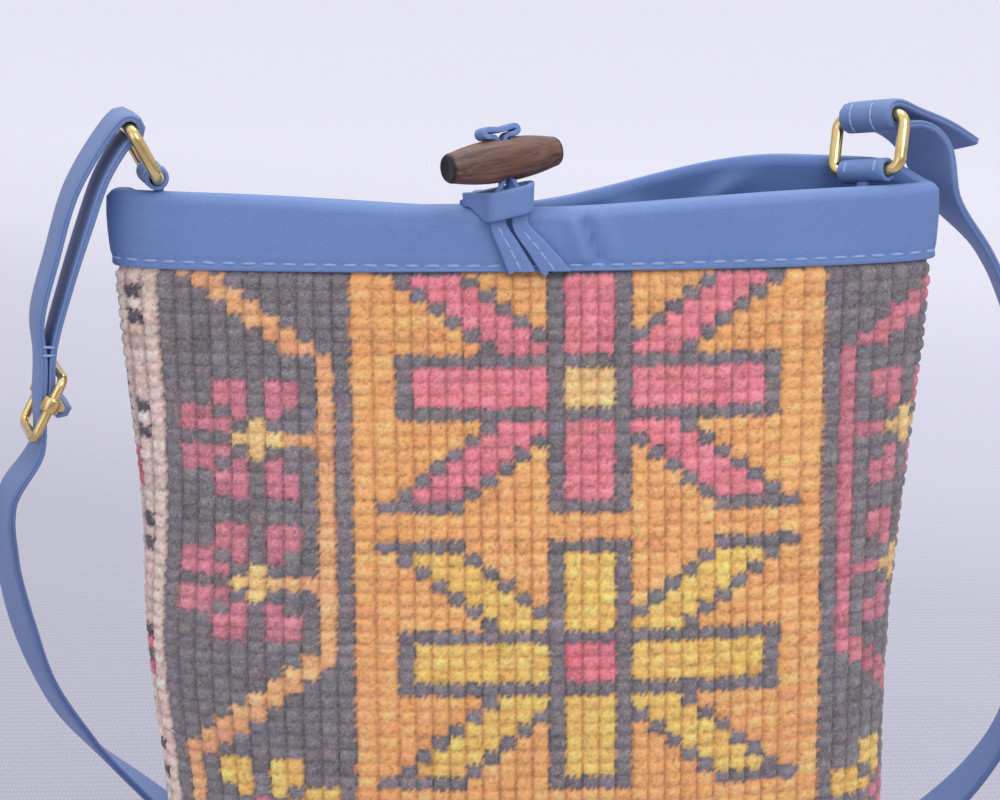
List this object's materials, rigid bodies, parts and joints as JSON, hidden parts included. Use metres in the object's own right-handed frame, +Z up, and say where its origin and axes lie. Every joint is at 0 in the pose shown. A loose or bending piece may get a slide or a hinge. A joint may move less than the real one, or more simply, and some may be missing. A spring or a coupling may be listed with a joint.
{
  "type": "crossbody bag",
  "caption": "Upright soft crossbody bag with a knotted rug front, folded leather mouth band, wooden toggle closure and an adjustable leather strap on brass rings.",
  "frame": {"origin": "under the middle of the bag, on the surface it stands on", "axes": "+Z up, -Y to the rug front, +X to the right as seen from the front"},
  "size_m": [0.3257, 0.1571, 0.3097],
  "materials": {
    "rug": "knotted wool pile, matte",
    "leather": "smooth blue leather, soft satin",
    "lining": "plain cotton",
    "brass": "polished",
    "wood": "dark, oiled"
  },
  "bodies": {
    "bag": {"front_rug_panel": "rug", "back_panel": "leather", "lining": "lining", "mouth_band": "leather", "left_ring_tab": "leather", "right_ring_tab": "leather", "shoulder_strap": "leather", "toggle_thong": "leather", "closure_loop": "leather"},
    "left_ring": {"left_ring": "brass"},
    "right_ring": {"right_ring": "brass"},
    "slider": {"slider_frame": "brass", "slider_bar": "brass"},
    "toggle": {"toggle": "wood"}
  },
  "joints": [
    {"name": "left_ring_swing", "type": "hinge", "parent": "bag", "child": "left_ring", "pos_m": [-0.1068, 0, 0.2898], "axis": [-0.2756, 0.9613, 0], "range_deg": [-60, 70], "deforming": ["shoulder_strap"]},
    {"name": "right_ring_swing", "type": "hinge", "parent": "bag", "child": "right_ring", "pos_m": [0.099, 0.002, 0.2888], "axis": [0.6984, -0.6984, 0.1564], "range_deg": [-10, 60], "deforming": ["shoulder_strap"]},
    {"name": "toggle_turn", "type": "hinge", "parent": "bag", "child": "toggle", "pos_m": [-0.0066, -0.016, 0.2956], "axis": [-0.1622, 0.1634, 0.9731], "range_deg": [-85, 85]},
    {"name": "slider_slide", "type": "slide", "parent": "bag", "child": "slider", "axis": [0.0671, 0.0192, 0.9976], "range_m": [-0.012, 0.012], "deforming": ["shoulder_strap"]}
  ]
}
